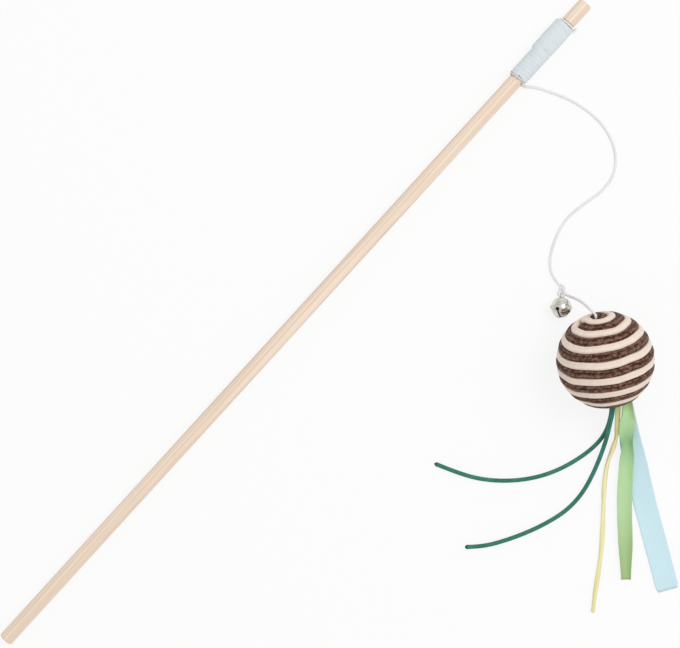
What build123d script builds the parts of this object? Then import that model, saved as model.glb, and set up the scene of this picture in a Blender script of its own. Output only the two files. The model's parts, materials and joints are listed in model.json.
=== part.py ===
from build123d import *
import os
from math import asin, cos, degrees, pi, radians, sin, sqrt, tan

# Cat teaser wand lying on a floor, in millimetres. +X runs along the rod from its butt,
# the toy lies on the -Y side, +Z is up, and the origin is the centre of the butt's end face.

# Rod
rod_length = 400.0
rod_diameter = 6.8
rod_edge = 0.4  # sanded edge at both ends
tip_stub = 12.1  # bare rod past the lashing
seat_length = 36.5  # shallow seat under the lashing
seat_depth = 0.5

# Cord: lashed to the rod, then free to the bell and on to the ball
cord_diameter = 1.4
cord_clearance = 0.05  # between wound cord and what it is wound on
joint_clearance = 0.15  # between cord ends that turn on each other
floor_clearance = 0.1  # under a cord that lies on the floor
lashing_turns = 18.625  # starts under the rod and ends high on its -Y side
lashing_margin = 0.25  # from the seat's end to the first turn
exit_lead = 4.6  # from under the rod out to where the cord swings
tail_lead = 2.2  # loose end that sticks out of the lashing

# Ribbon wound over the lashing, single on its lower half and double on its upper half
wrap_layer = 0.2
wrap_overlap = 0.5  # share of the wrap that is double
wrap_margin = 0.2  # from the end turns of the lashing, which stay bare

# Knot that carries the bell
knot_diameter = 3.8
loop_radius = 1.35  # cord loop through the bell's eye
eye_reach = 4.0  # from the knot to the strand that the eye turns on

# Bell
bell_diameter = 9.6
bell_wall = 0.45
bell_rim = 0.3  # how far the seam flange stands out
bell_rim_thickness = 0.4  # each half's flange
bell_heading = 218.8  # from the eye to the cup, degrees about +Z from +X
bell_tilt = 22.0  # the cup faces up by this much, and the eye lies low
slot_width = 0.9
slot_hole = 1.9  # round end of each slot
slot_reach = 62.0  # from the cup's pole to the round ends, degrees
slot_turn = 29.0  # of the crossed slots about the bell's axis, degrees from level
eye_wire = 0.7
eye_hole = 2.1
eye_set = 0.75  # how deep the eye's ring is set into the dome
pellet_diameter = 2.2
pellet_clearance = 0.15

# Ball: two strands wound side by side over a core
core_diameter = 38.0
strand_diameter = 3.4
strand_clearance = 0.1
strand_gap = 0.27  # between the two strands, side by side
strand_phase = 166.0  # where the brown strand starts, degrees
pole_heading = 57.0  # from the core's centre to the cord's pole, degrees about +Z from +X
pole_rise = 19.7  # the same above level
top_latitude = 11.0  # first turn at the cord's pole, degrees from the pole
mouth_latitude = 28.7  # last turn at the streamers' mouth, degrees from that pole
tuck_turn = 80.0  # over which a strand's end dips into the core
tuck_depth = 4.6
top_tuck_radius = 2.6
mouth_tuck_radius = 6.5
crater_room = 0.5  # round the tucked ends
crater_ease = 1.0  # bevel where the strands go over a crater's rim
cord_bore = 2.4
stopper_diameter = 4.4
cord_stand = 0.7  # how far the cord's turning point stands out of the winding

# Streamer plug: filled round the streamers' roots, between the strands' tucked ends
plug_width = 11.6
plug_shift = 2.0  # from the cord's line towards the ribbons
plug_height = 8.4
plug_inner = 6.0  # its inner end, from the core's centre
plug_outer = 18.8  # its outer face
root_clearance = 0.2

# Streamers
streamer_cord = 2.0
ribbon_thickness = 0.4
green_width = 7.0
blue_width = 10.6

# Streamers' roots on the plug's face: across the mouth, up it and out of it
teal_long_root = (-1.25, -0.6, 1.0)
teal_short_root = (-0.85, 1.7, 1.0)
yellow_root = (1.5, 0.0, 1.0)
green_root = (6.6, 0.9, 1.7)
blue_root = (2.8, -2.2, 0.0)

# Where the toy lies, as steps on the floor
knot_step = (-57.07, -76.2)  # from the point where the cord swings
ball_step = (-69.63, -112.0)  # from the same point
blue_end_step = (-58.4, -95.8)  # from the ball's centre

# Sizes that follow from these
rod_radius = rod_diameter / 2
cord_radius = cord_diameter / 2
strand_radius = strand_diameter / 2
knot_radius = knot_diameter / 2
bell_radius = bell_diameter / 2
pellet_radius = pellet_diameter / 2
streamer_radius = streamer_cord / 2
seat_radius = rod_radius - seat_depth
seat_end = rod_length - tip_stub
seat_start = seat_end - seat_length
turn_radius = seat_radius + cord_clearance + cord_radius
first_turn = seat_start + lashing_margin + cord_radius
last_turn = seat_end - lashing_margin - cord_radius
wrap_bore = turn_radius + cord_radius + cord_clearance
wrap_start = first_turn + cord_radius + wrap_margin
wrap_end = last_turn - cord_radius - wrap_margin
wrap_step = wrap_end - (wrap_end - wrap_start) * wrap_overlap
wrap_radius = wrap_bore + 2 * wrap_layer
strand_orbit = core_diameter / 2 + strand_clearance + strand_radius
strand_pitch = degrees(2 * (strand_diameter + strand_gap) / strand_orbit)  # latitude that one turn takes
ball_radius = strand_orbit + strand_radius

# The rod lies on its butt and on the thicker wrap, so it leans a little.
floor_z = -rod_radius
rod_lean = degrees(asin((wrap_radius - rod_radius) / wrap_step))
rod_place = Location((0, 0, 0), (0, -rod_lean, 0))
swing_point = (rod_place * Pos(first_turn, -exit_lead, -turn_radius)).position

# Ball, turned so that its winding has one pole at the cord
knot_centre = Vector(swing_point.X, swing_point.Y, 0) + Vector(*knot_step)
knot_centre.Z = floor_z + knot_radius + floor_clearance
ball_centre = Vector(swing_point.X, swing_point.Y, floor_z + ball_radius) + Vector(*ball_step)
pole = Vector(1, 0, 0).rotate(Axis.Y, -pole_rise).rotate(Axis.Z, pole_heading)
ball_plane = Plane(origin=ball_centre, x_dir=pole.cross(Vector(0, 0, 1)), z_dir=pole)
ball_point = ball_plane.from_local_coords(Vector(0, 0, ball_radius + cord_stand))

# Bell: it rests on its seam flange. The eye stands upright and turns on the end of the cord's loop.
bell_way = Vector(1, 0, 0).rotate(Axis.Y, -bell_tilt).rotate(Axis.Z, bell_heading)
bell_across = bell_way.cross(Vector(0, 0, 1)).normalized()
flange_radius = bell_radius + bell_rim
bell_height = flange_radius * cos(radians(bell_tilt)) + bell_rim_thickness * sin(radians(bell_tilt))
eye_ring = (eye_hole + eye_wire) / 2
eye_back = bell_radius + eye_ring + eye_wire / 2 - eye_set
eye_centre = knot_centre + Vector(1, 0, 0).rotate(Axis.Z, bell_heading) * eye_reach
eye_centre.Z = floor_z + floor_clearance + bell_height - eye_back * sin(radians(bell_tilt))
bell_centre = eye_centre + bell_way * eye_back
bell_plane = Plane(origin=bell_centre, x_dir=bell_across, z_dir=bell_way)


def on_floor(steps, origin, radius):
    """Points of a cord's route: steps from the origin, and heights of the cord's underside."""
    return [Vector(origin.X + x, origin.Y + y, floor_z + radius + lift) for x, y, lift in steps]


def bend_radii(points):
    """The largest arcs that the runs beside each corner allow."""
    radii = []
    for before, corner, after in zip(points, points[1:], points[2:]):
        turn = (corner - before).get_angle(after - corner)
        shorter = min((corner - before).length, (after - corner).length)
        radii.append(0.45 * shorter / tan(radians(turn / 2)))
    return radii


def tube(path, diameter):
    section = Plane(origin=path @ 0, z_dir=path % 0) * Circle(diameter / 2)
    return sweep(section, path=path)


def report(name, solid, length, diameter, note):
    expected = pi * diameter**2 / 4 * length
    print(f"{name}: {length:.1f} mm, volume {solid.volume:.1f} for {expected:.1f} expected, {note}")


def free_cord(name, points, diameter):
    """A limp cord along its route, with a round end where it turns at its first point."""
    radii = bend_radii(points)
    path = FilletPolyline(*points, radius=radii)
    solid = tube(path, diameter)
    report(name, solid, path.length, diameter, f"least bend {min(radii):.1f}")
    return solid + Pos(points[0]) * Sphere(diameter / 2)


def biarc(start, start_way, end, end_way):
    """Two arcs that leave the start and reach the end along the given directions."""
    step = end - start
    both = start_way + end_way
    a = 2 * start_way.dot(end_way) - 2
    b = -2 * step.dot(both)
    c = step.dot(step)
    reach = (-b - sqrt(b * b - 4 * a * c)) / (2 * a)
    first_corner = start + start_way * reach
    last_corner = end - end_way * reach
    middle = (first_corner + last_corner) / 2
    middle_way = (last_corner - first_corner).normalized()
    return [
        TangentArc(start, middle, tangent=start_way),
        TangentArc(middle, end, tangent=middle_way),
    ]


def least_gap(edges, diameter):
    """The least distance between stretches of one tube that aren't next to each other."""
    points = []
    run = 0.0
    for edge in edges:
        for part in (0.0, 0.25, 0.5, 0.75):
            points.append((run + part * edge.length, edge @ part))
        run += edge.length
    gaps = [
        (place - other).length
        for i, (at, place) in enumerate(points)
        for also, other in points[:i]
        if at - also > 3 * diameter
    ]
    return min(gaps) - diameter


def wound_tube(name, stations, diameter, leads):
    """A wound tube through stations of point and direction, straight at both ends."""
    (first, first_way), (last, last_way) = stations[0], stations[-1]
    edges = [Line(first - first_way * leads[0], first)]
    for (start, start_way), (end, end_way) in zip(stations, stations[1:]):
        edges += biarc(start, start_way, end, end_way)
    edges.append(Line(last, last + last_way * leads[1]))
    path = Wire(edges)
    solid = tube(path, diameter)
    report(name, solid, path.length, diameter, f"least gap to itself {least_gap(edges, diameter):.2f}")
    return solid


def make_rod():
    outline = Polyline(
        (0, 0),
        (0, rod_radius - rod_edge),
        (rod_edge, rod_radius),
        (seat_start, rod_radius),
        (seat_start, seat_radius),
        (seat_end, seat_radius),
        (seat_end, rod_radius),
        (rod_length - rod_edge, rod_radius),
        (rod_length, rod_radius - rod_edge),
        (rod_length, 0),
        close=True,
    )
    return rod_place * revolve(make_face(outline), axis=Axis.X)


def make_lashing():
    """Turns from the exit under the rod to the loose end, in half turns."""
    pitch = (last_turn - first_turn) / lashing_turns
    halves = round(lashing_turns * 2)
    stations = []
    for i in range(halves + 1):
        turned = lashing_turns * i / halves
        angle = 2 * pi * turned - pi / 2
        place = Vector(first_turn + pitch * turned, turn_radius * cos(angle), turn_radius * sin(angle))
        way = Vector(pitch / (2 * pi), -turn_radius * sin(angle), turn_radius * cos(angle))
        stations.append((place, way.normalized()))
    out = exit_lead - cord_radius - joint_clearance
    return rod_place * wound_tube("lashing_cord", stations, cord_diameter, (out, tail_lead))


def make_wrap():
    outline = Polyline(
        (wrap_start, wrap_bore),
        (wrap_start, wrap_bore + wrap_layer),
        (wrap_step, wrap_bore + wrap_layer),
        (wrap_step, wrap_radius),
        (wrap_end, wrap_radius),
        (wrap_end, wrap_bore),
        close=True,
    )
    return rod_place * revolve(make_face(outline), axis=Axis.X)


def make_knot(clearance=0.0):
    return Pos(knot_centre) * Sphere(knot_radius + clearance)


def make_bell_loop():
    reach = (eye_centre - knot_centre).normalized()
    ring_plane = Plane(origin=eye_centre - reach * loop_radius, x_dir=reach, z_dir=reach.cross(bell_across))
    return ring_plane * Torus(loop_radius, cord_radius) - make_knot()


def half_shell(side):
    """One half of the bell's shell with its seam flange, on +Z or -Z of the seam."""
    block = bell_diameter + 4 * bell_rim
    half = Pos(0, 0, side * block / 2) * Box(block, block, block)
    flange = Cylinder(flange_radius, 2 * bell_rim_thickness)
    return ((Sphere(bell_radius) + flange) & half) - Sphere(bell_radius - bell_wall)


def make_bell_cup():
    """The slotted half: two crossing slots that end in round holes."""
    cup = half_shell(1)
    reach = bell_radius * sin(radians(slot_reach))
    for turn in (slot_turn, slot_turn + 90):
        cup -= Rot(0, 0, turn) * Pos(0, 0, bell_radius) * Box(2 * reach, slot_width, bell_diameter)
        for side in (-1, 1):
            cup -= Rot(0, 0, turn) * Rot(0, side * slot_reach, 0) * Pos(0, 0, bell_radius) * Cylinder(
                slot_hole / 2, bell_radius
            )
    return bell_plane * cup


def make_bell_eye():
    upright = Plane(origin=eye_centre, x_dir=bell_way, z_dir=bell_across)
    return upright * Torus(eye_ring, eye_wire / 2) - Pos(bell_centre) * Sphere(bell_radius)


def make_pellet():
    drop = bell_radius - bell_wall - pellet_clearance - pellet_radius
    return Pos(bell_centre - Vector(0, 0, drop)) * Sphere(pellet_radius)


def strand_station(latitude, turn):
    """Point and direction of a strand at a latitude from the cord's pole."""
    angle = radians(360 * latitude / strand_pitch - strand_phase + turn)
    tilt = radians(latitude)
    spin = 360 / strand_pitch
    place = Vector(sin(tilt) * cos(angle), sin(tilt) * sin(angle), cos(tilt)) * strand_orbit
    way = Vector(
        cos(tilt) * cos(angle) - spin * sin(tilt) * sin(angle),
        cos(tilt) * sin(angle) + spin * sin(tilt) * cos(angle),
        -sin(tilt),
    )
    return place, way.normalized()


def make_strand(name, turn):
    """A strand wound pole to pole in quarter turns, with both ends tucked into the core."""
    latest = 180 - mouth_latitude
    quarters = round((latest - top_latitude) / (strand_pitch / 4))
    step = (latest - top_latitude) / quarters
    stations = [strand_station(top_latitude + step * i, turn) for i in range(quarters + 1)]
    for index, radius, side in ((0, top_tuck_radius, 1), (-1, mouth_tuck_radius, -1)):
        place, way = stations[index]
        flat = Vector(place.X, place.Y, 0).normalized().rotate(Axis.Z, -side * tuck_turn)
        dip = flat * radius + Vector(0, 0, place.Z - side * tuck_depth)
        stations.insert(0 if side > 0 else len(stations), (dip, Vector(0, 0, 1)))
    return ball_plane * wound_tube(name, stations, strand_diameter, (strand_diameter, strand_diameter))


def tuck_floor(latitude):
    """Depth, from the core's centre, that a strand's tucked end reaches at a pole."""
    return strand_orbit * cos(radians(latitude)) - tuck_depth - strand_diameter - strand_clearance


def plug_outline(clearance):
    return SlotOverall(plug_width + 2 * clearance, plug_height + 2 * clearance)


def make_core():
    """Core with a crater at each pole, a bore for the cord and a pocket for the plug."""
    core = Sphere(core_diameter / 2)
    top = tuck_floor(top_latitude)
    mouth = tuck_floor(mouth_latitude)
    for side, floor, radius in ((1, top, top_tuck_radius), (-1, mouth, mouth_tuck_radius)):
        crater = radius + strand_radius + crater_room
        rim = sqrt(core_diameter**2 / 4 - crater**2)
        turned = Rot(0, 90 - side * 90, 0)
        core -= turned * Pos(0, 0, floor + core_diameter / 2) * Cylinder(crater, core_diameter)
        core -= turned * Pos(0, 0, rim) * Cone(crater, crater + 2 * crater_ease, 2 * crater_ease)
    core -= Cylinder(cord_bore / 2, core_diameter)
    core -= Pos(plug_shift, 0, -plug_inner) * extrude(plug_outline(strand_clearance), -core_diameter)
    return ball_plane * core


def make_inner_cord():
    """The cord from the ball's pole down to the knot that holds it in the core."""
    top = ball_radius + cord_stand - cord_radius - joint_clearance
    bottom = -plug_inner - root_clearance - stopper_diameter / 2
    cord = Pos(0, 0, (top + bottom) / 2) * Cylinder(cord_radius, top - bottom)
    return ball_plane * (cord - make_stopper())


def make_stopper(clearance=0.0):
    """The knot inside the ball, in the winding's own frame."""
    stopper_radius = stopper_diameter / 2
    return Pos(0, 0, -plug_inner - root_clearance - stopper_radius) * Sphere(stopper_radius + clearance)


def make_plug():
    """Plug with a hollow for the stopper knot, open to the cord's bore."""
    inner_end = plug_inner + strand_clearance
    body = Pos(plug_shift, 0, -inner_end) * extrude(plug_outline(0), inner_end - plug_outer)
    mouth = Pos(0, 0, -plug_inner) * Cylinder(cord_bore / 2, stopper_diameter)
    return ball_plane * (body - make_stopper(root_clearance) - mouth)


def root(side, rise, stand):
    """A streamer's root on the plug's face: across the mouth, up it and out of it."""
    return ball_plane.from_local_coords(Vector(side, -rise, -(plug_outer + root_clearance + stand)))


def streamer(name, start, steps):
    points = [start] + on_floor(steps, ball_centre, streamer_radius)
    return free_cord(name, points, streamer_cord)


def ribbon(name, points, width):
    """A flat ribbon, swept from its free end, which lies level across."""
    points = points[::-1]
    across = (points[1] - points[0]).cross(Vector(0, 0, 1)).normalized()
    radii = bend_radii(points)
    path = FilletPolyline(*points, radius=radii)
    section = Plane(origin=path @ 0, x_dir=across, z_dir=path % 0) * Rectangle(width, ribbon_thickness)
    print(f"{name}: {path.length:.1f} mm long, {width:.1f} mm wide")
    return sweep(section, path=path)


def make_blue_ribbon():
    """Its root is round, about the point where the ribbon swings in its own plane."""
    start = root(*blue_root)
    over = Vector(start.X, start.Y, floor_z + ribbon_thickness / 2)
    run = ball_centre + Vector(*blue_end_step) - over
    run.Z = 0
    points = [start] + [over + run.normalized() * along + Vector(0, 0, lift) for along, lift in blue_steps]
    strip = ribbon("blue_ribbon", points, blue_width)
    corner = Plane(origin=start - pole * (blue_width / 2), x_dir=ball_plane.x_dir, z_dir=ball_plane.y_dir)
    square = Pos(0, -blue_width / 2, 0) * Box(2 * blue_width, blue_width, blue_width)
    return strip - corner * (square - Cylinder(blue_width / 2, 2 * blue_width))


# Routes: steps on the floor from where each cord starts, with the height of its underside
upper_cord_steps = [
    (3.0, -3.2, floor_clearance),
    (6.4, -10.0, floor_clearance),
    (10.6, -21.0, floor_clearance),
    (12.4, -32.5, floor_clearance),
    (11.3, -43.2, floor_clearance),
    (6.4, -52.9, floor_clearance),
    (-1.6, -59.1, floor_clearance),
    (-11.0, -60.1, floor_clearance),
    (-21.5, -57.6, floor_clearance),
    (-32.2, -56.0, floor_clearance),
    (-43.4, -59.0, floor_clearance),
    (-52.5, -64.0, floor_clearance),
    (-56.6, -70.4, floor_clearance),
]
lower_cord_steps = [
    (12.36, 21.2, 30.6),
    (12.66, 25.0, 29.5),
    (12.9, 28.0, 25.8),
    (13.1, 29.9, 19.8),
    (13.3, 31.4, 12.8),
    (14.3, 33.0, 6.8),
]
teal_long_steps = [
    (-14.6, -18.5, 13.4),
    (-18.7, -21.5, 10.0),
    (-23.6, -24.2, 5.2),
    (-30.0, -25.5, 1.0),
    (-39.6, -24.2, floor_clearance),
    (-50.9, -20.6, floor_clearance),
    (-61.4, -14.8, floor_clearance),
    (-70.9, -6.6, floor_clearance),
    (-78.9, 3.4, floor_clearance),
    (-84.3, 14.4, floor_clearance),
    (-87.9, 24.4, floor_clearance),
]
teal_short_steps = [
    (-14.8, -19.1, 16.0),
    (-19.2, -21.9, 12.9),
    (-24.1, -25.4, 7.9),
    (-30.7, -29.2, 2.5),
    (-40.5, -33.2, floor_clearance),
    (-51.5, -36.0, floor_clearance),
    (-62.3, -36.0, floor_clearance),
    (-73.3, -33.0, floor_clearance),
    (-83.9, -28.6, floor_clearance),
    (-94.3, -23.0, floor_clearance),
    (-101.9, -17.8, floor_clearance),
    (-107.1, -12.4, floor_clearance),
]
yellow_steps = [
    (-12.8, -20.8, 12.4),
    (-17.5, -25.6, 7.6),
    (-22.2, -29.9, 3.4),
    (-27.7, -32.7, 0.8),
    (-33.2, -34.9, floor_clearance),
    (-39.3, -38.8, floor_clearance),
    (-46.7, -44.6, floor_clearance),
    (-54.9, -51.8, floor_clearance),
    (-64.3, -59.6, floor_clearance),
    (-74.3, -66.6, floor_clearance),
    (-82.5, -71.8, floor_clearance),
    (-89.5, -76.9, floor_clearance),
]
green_steps = [
    (-9.0, -24.1, 14.6),
    (-12.6, -27.9, 11.0),
    (-16.5, -31.8, 6.8),
    (-21.2, -36.5, 3.0),
    (-26.6, -40.6, 1.4),
    (-33.2, -45.9, 1.2),
    (-40.0, -51.6, 1.0),
    (-46.8, -57.9, 0.6),
    (-54.0, -65.0, 0.4),
    (-61.0, -71.6, 0.6),
    (-67.8, -78.0, 0.3),
]

# The blue ribbon lies straight: distance from its root over the floor, and height of its underside
blue_steps = [
    (8.5, 10.72),
    (13.0, 6.4),
    (17.5, 2.6),
    (23.0, 0.3),
    (33.0, floor_clearance),
    (46.0, 0.25),
    (60.0, floor_clearance),
    (77.0, 0.5),
    (95.0, floor_clearance),
]

knot = make_knot()
upper_points = [swing_point] + on_floor(upper_cord_steps, swing_point, cord_radius) + [knot_centre]
lower_points = [ball_point] + on_floor(lower_cord_steps, ball_centre, cord_radius) + [knot_centre]
green_points = [root(*green_root)] + on_floor(green_steps, ball_centre, ribbon_thickness / 2)

nodes = {
    "rod": make_rod(),
    "lashing_cord": make_lashing(),
    "wrap_ribbon": make_wrap(),
    "upper_cord": free_cord("upper_cord", upper_points, cord_diameter) - knot,
    "bell_knot": knot,
    "bell_loop": make_bell_loop(),
    "bell_dome": bell_plane * half_shell(-1),
    "bell_cup": make_bell_cup(),
    "bell_eye": make_bell_eye(),
    "bell_pellet": make_pellet(),
    "lower_cord": free_cord("lower_cord", lower_points, cord_diameter) - make_knot(joint_clearance),
    "ball_core": make_core(),
    "brown_strand": make_strand("brown_strand", 0),
    "cream_strand": make_strand("cream_strand", 180),
    "inner_cord": make_inner_cord(),
    "stopper_knot": ball_plane * make_stopper(),
    "streamer_plug": make_plug(),
    "teal_cord_long": streamer("teal_cord_long", root(*teal_long_root), teal_long_steps),
    "teal_cord_short": streamer("teal_cord_short", root(*teal_short_root), teal_short_steps),
    "yellow_cord": streamer("yellow_cord", root(*yellow_root), yellow_steps),
    "green_ribbon": ribbon("green_ribbon", green_points, green_width),
    "blue_ribbon": make_blue_ribbon(),
}

os.makedirs("parts", exist_ok=True)
for name, shape in nodes.items():
    export_step(shape, f"parts/{name}.step")
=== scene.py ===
import bpy
import json
import random
from math import copysign, cos, exp, hypot, pi, radians, sin, sqrt
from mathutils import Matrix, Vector, noise


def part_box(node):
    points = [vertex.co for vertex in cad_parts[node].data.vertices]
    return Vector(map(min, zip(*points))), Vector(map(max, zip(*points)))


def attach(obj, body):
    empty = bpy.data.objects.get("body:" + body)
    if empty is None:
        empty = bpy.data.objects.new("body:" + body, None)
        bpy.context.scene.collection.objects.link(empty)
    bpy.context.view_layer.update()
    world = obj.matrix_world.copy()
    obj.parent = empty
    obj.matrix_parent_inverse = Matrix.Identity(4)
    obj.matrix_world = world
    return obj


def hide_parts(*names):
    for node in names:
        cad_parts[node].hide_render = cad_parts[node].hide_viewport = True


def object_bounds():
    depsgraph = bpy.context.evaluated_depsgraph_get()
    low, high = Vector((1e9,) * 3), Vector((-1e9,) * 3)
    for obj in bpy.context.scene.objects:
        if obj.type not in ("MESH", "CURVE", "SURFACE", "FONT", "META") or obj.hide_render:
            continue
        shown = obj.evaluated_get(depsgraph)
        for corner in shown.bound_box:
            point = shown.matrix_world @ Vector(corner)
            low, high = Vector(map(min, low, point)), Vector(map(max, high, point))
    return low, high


# Cat teaser wand seen from straight above: rod, lashed cord, bell, wound ball and its streamers.
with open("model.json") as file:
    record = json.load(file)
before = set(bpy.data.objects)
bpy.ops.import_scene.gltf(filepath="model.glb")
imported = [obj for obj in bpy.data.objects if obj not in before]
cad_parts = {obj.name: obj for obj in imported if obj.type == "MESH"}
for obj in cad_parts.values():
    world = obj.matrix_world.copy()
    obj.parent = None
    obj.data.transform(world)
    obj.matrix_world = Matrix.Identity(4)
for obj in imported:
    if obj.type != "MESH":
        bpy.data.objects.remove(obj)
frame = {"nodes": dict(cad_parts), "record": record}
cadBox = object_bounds()
scene = bpy.context.scene
scene.view_settings.view_transform = "Standard"

# Places that everything hangs on, read from the frame
record = frame["record"]
pivots = {j["name"]: Vector(j["pos_m"]) for j in record["behaviour"]["joints"] if "pos_m" in j}
floorHeight = cadBox[0][2]
upright = Vector((0, 0, 1))


def middleOf(node):
    low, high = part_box(node)
    return (Vector(low) + Vector(high)) / 2


ballCentre = middleOf("ball_core")
rodWay = -Vector(record["mounts"][0]["axis"])  # from the butt to the tip
rodUp = Vector((-rodWay.z, 0, rodWay.x))
pole = (pivots["ball_swing"] - ballCentre).normalized()  # from the ball's middle to its cord
mouthSide = pole.cross(upright).normalized()
mouthRise = mouthSide.cross(pole)


def shade(red, green, blue):
    # a screen colour as the linear one that a socket takes
    linear = []
    for level in (red, green, blue):
        part = level / 255
        linear.append(part / 12.92 if part <= 0.04045 else ((part + 0.055) / 1.055) ** 2.4)
    return (*linear, 1.0)


def grey(level):
    return (level, level, level, 1.0)


def between(keys, at):
    # a value eased between keyed ones
    if at <= keys[0][0]:
        return keys[0][1]
    for (start, first), (end, last) in zip(keys, keys[1:]):
        if at <= end:
            part = (at - start) / (end - start)
            part = part * part * (3 - 2 * part)
            return first + (last - first) * part
    return keys[-1][1]


def clamped(value):
    return min(1.0, max(0.0, value))


# Camera, floor and light

overheadCamera = {
    "height": 1.1,  # over the floor
    "middle": (0.213175, -0.015981),
    "turn": 47.6314,
    "lens": 124.9,
}


def makeCamera():
    data = bpy.data.cameras.new("overheadCamera")
    data.lens = overheadCamera["lens"]
    data.sensor_width = 36
    camera = bpy.data.objects.new("overheadCamera", data)
    camera.location = (*overheadCamera["middle"], floorHeight + overheadCamera["height"])
    camera.rotation_euler = (0, 0, -radians(overheadCamera["turn"]))
    scene.collection.objects.link(camera)
    scene.camera = camera


paleFloor = {"size": 40, "drop": 0.0002, "paper": 0.84}  # paper: share of the white that the camera sees


def makeFloor():
    bpy.ops.object.select_all(action="DESELECT")
    bpy.ops.mesh.primitive_plane_add(
        size=paleFloor["size"], location=(0.2, -0.1, floorHeight - paleFloor["drop"])
    )
    floor = bpy.context.object
    floor.name = "paleFloor"
    bpy.ops.object.transform_apply(location=True, rotation=True, scale=True)
    material, tree, principled = startMaterial("paleFloor", 0.9)
    nodes = tree.nodes
    setSockets(principled, {"Base Color": grey(0.86), "Specular IOR Level": 0.1})
    paper = nodes.new("ShaderNodeEmission")
    paper.inputs["Color"].default_value = grey(1.0)
    rays = nodes.new("ShaderNodeLightPath").outputs
    seen = mathNode(tree, "ADD", rays["Is Camera Ray"], rays["Is Glossy Ray"])
    seen.node.use_clamp = True
    share = times(tree, seen, paleFloor["paper"])
    mixed = nodes.new("ShaderNodeMixShader")
    tree.links.new(share, mixed.inputs["Fac"])
    tree.links.new(principled.outputs[0], mixed.inputs[1])
    tree.links.new(paper.outputs[0], mixed.inputs[2])
    tree.links.new(mixed.outputs[0], nodes["Material Output"].inputs["Surface"])
    floor.data.materials.append(material)


softLight = {
    "world": 0.74,
    "lampPower": 9.9,
    "lampSize": 0.9,
    "aim": (0.22, -0.05, 0.0),
    "from": (0.78, -0.21, 1.5),  # from the aim
}


def makeLight():
    world = bpy.data.worlds.new("softRoom")
    scene.world = world
    world.use_nodes = True
    sky = world.node_tree.nodes["Background"]
    sky.inputs["Color"].default_value = grey(1.0)
    sky.inputs["Strength"].default_value = softLight["world"]
    lampData = bpy.data.lights.new("softBox", "AREA")
    lampData.energy = softLight["lampPower"]
    lampData.size = softLight["lampSize"]
    lamp = bpy.data.objects.new("softBox", lampData)
    lamp.location = Vector(softLight["aim"]) + Vector(softLight["from"])
    lamp.rotation_euler = (-Vector(softLight["from"])).to_track_quat("-Z", "Y").to_euler()
    lamp.visible_camera = False
    scene.collection.objects.link(lamp)


# Shared shader effects


def groupOf(name, inputs, outputs):
    group = bpy.data.node_groups.new(name, "ShaderNodeTree")
    for label, value in inputs:
        socket = group.interface.new_socket(name=label, in_out="INPUT", socket_type="NodeSocketFloat")
        socket.default_value = value
    for label in outputs:
        group.interface.new_socket(name=label, in_out="OUTPUT", socket_type="NodeSocketFloat")
    enter = group.nodes.new("NodeGroupInput")
    leave = group.nodes.new("NodeGroupOutput")
    return group, enter, leave


def mathNode(tree, operation, first, second=None, third=None):
    # first, second and third are sockets or plain numbers
    node = tree.nodes.new("ShaderNodeMath")
    node.operation = operation
    for index, value in enumerate((first, second, third)):
        if value is None:
            continue
        if isinstance(value, (int, float)):
            node.inputs[index].default_value = value
        else:
            tree.links.new(value, node.inputs[index])
    return node.outputs[0]


def times(tree, first, second):
    return mathNode(tree, "MULTIPLY", first, second)


def timesAdd(tree, first, second, third):
    return mathNode(tree, "MULTIPLY_ADD", first, second, third)


def vectorNode(tree, operation, first, second):
    node = tree.nodes.new("ShaderNodeVectorMath")
    node.operation = operation
    tree.links.new(first, node.inputs[0])
    if second is not None:
        node.inputs[1].default_value = second
    return node.outputs["Value" if operation == "LENGTH" else "Vector"]


def noiseNode(tree, vector, scale, detail, roughness):
    node = tree.nodes.new("ShaderNodeTexNoise")
    node.inputs["Detail"].default_value = detail
    node.inputs["Roughness"].default_value = roughness
    if isinstance(scale, (int, float)):
        node.inputs["Scale"].default_value = scale
    else:
        tree.links.new(scale, node.inputs["Scale"])
    tree.links.new(vector, node.inputs["Vector"])
    return node.outputs["Fac"]


def mapRun(tree):
    # the run along a piece in centimetres, and the way round or across it
    place = tree.nodes.new("ShaderNodeTexCoord")
    split = tree.nodes.new("ShaderNodeSeparateXYZ")
    tree.links.new(place.outputs["UV"], split.inputs[0])
    return split.outputs["X"], split.outputs["Y"]


def makeFibreGroup():
    # fibres that run along a cord, in plies; the grooves between the plies are painted darker and their
    # crowns lighter as painted shade, over fibre streaks that vary in tone
    group, enter, leave = groupOf(
        "fibreLay",
        [("Plies", 3.0), ("Along", 3.0), ("Fibres", 14.0)],
        ["Shade", "Height"],
    )
    run, around = mapRun(group)
    ply = times(group, around, enter.outputs["Plies"])
    crown = times(group, mathNode(group, "PINGPONG", ply, 0.5), 2.0)
    angle = times(group, around, 2 * pi)
    merged = group.nodes.new("ShaderNodeCombineXYZ")
    group.links.new(times(group, run, enter.outputs["Along"]), merged.inputs["X"])
    circleX = times(group, mathNode(group, "COSINE", angle), enter.outputs["Fibres"])
    circleY = times(group, mathNode(group, "SINE", angle), enter.outputs["Fibres"])
    group.links.new(circleX, merged.inputs["Y"])
    group.links.new(circleY, merged.inputs["Z"])
    streak = noiseNode(group, merged.outputs[0], 1.0, 4.0, 0.6)
    # painted shade: dark in the grooves between the plies, light on their crowns
    plyShade = mathNode(group, "POWER", mathNode(group, "SUBTRACT", 1.0, crown), 0.6)
    both = timesAdd(group, plyShade, 0.35, times(group, streak, 0.65))
    group.links.new(both, leave.inputs["Shade"])
    group.links.new(timesAdd(group, streak, 0.6, plyShade), leave.inputs["Height"])
    return group


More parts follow.
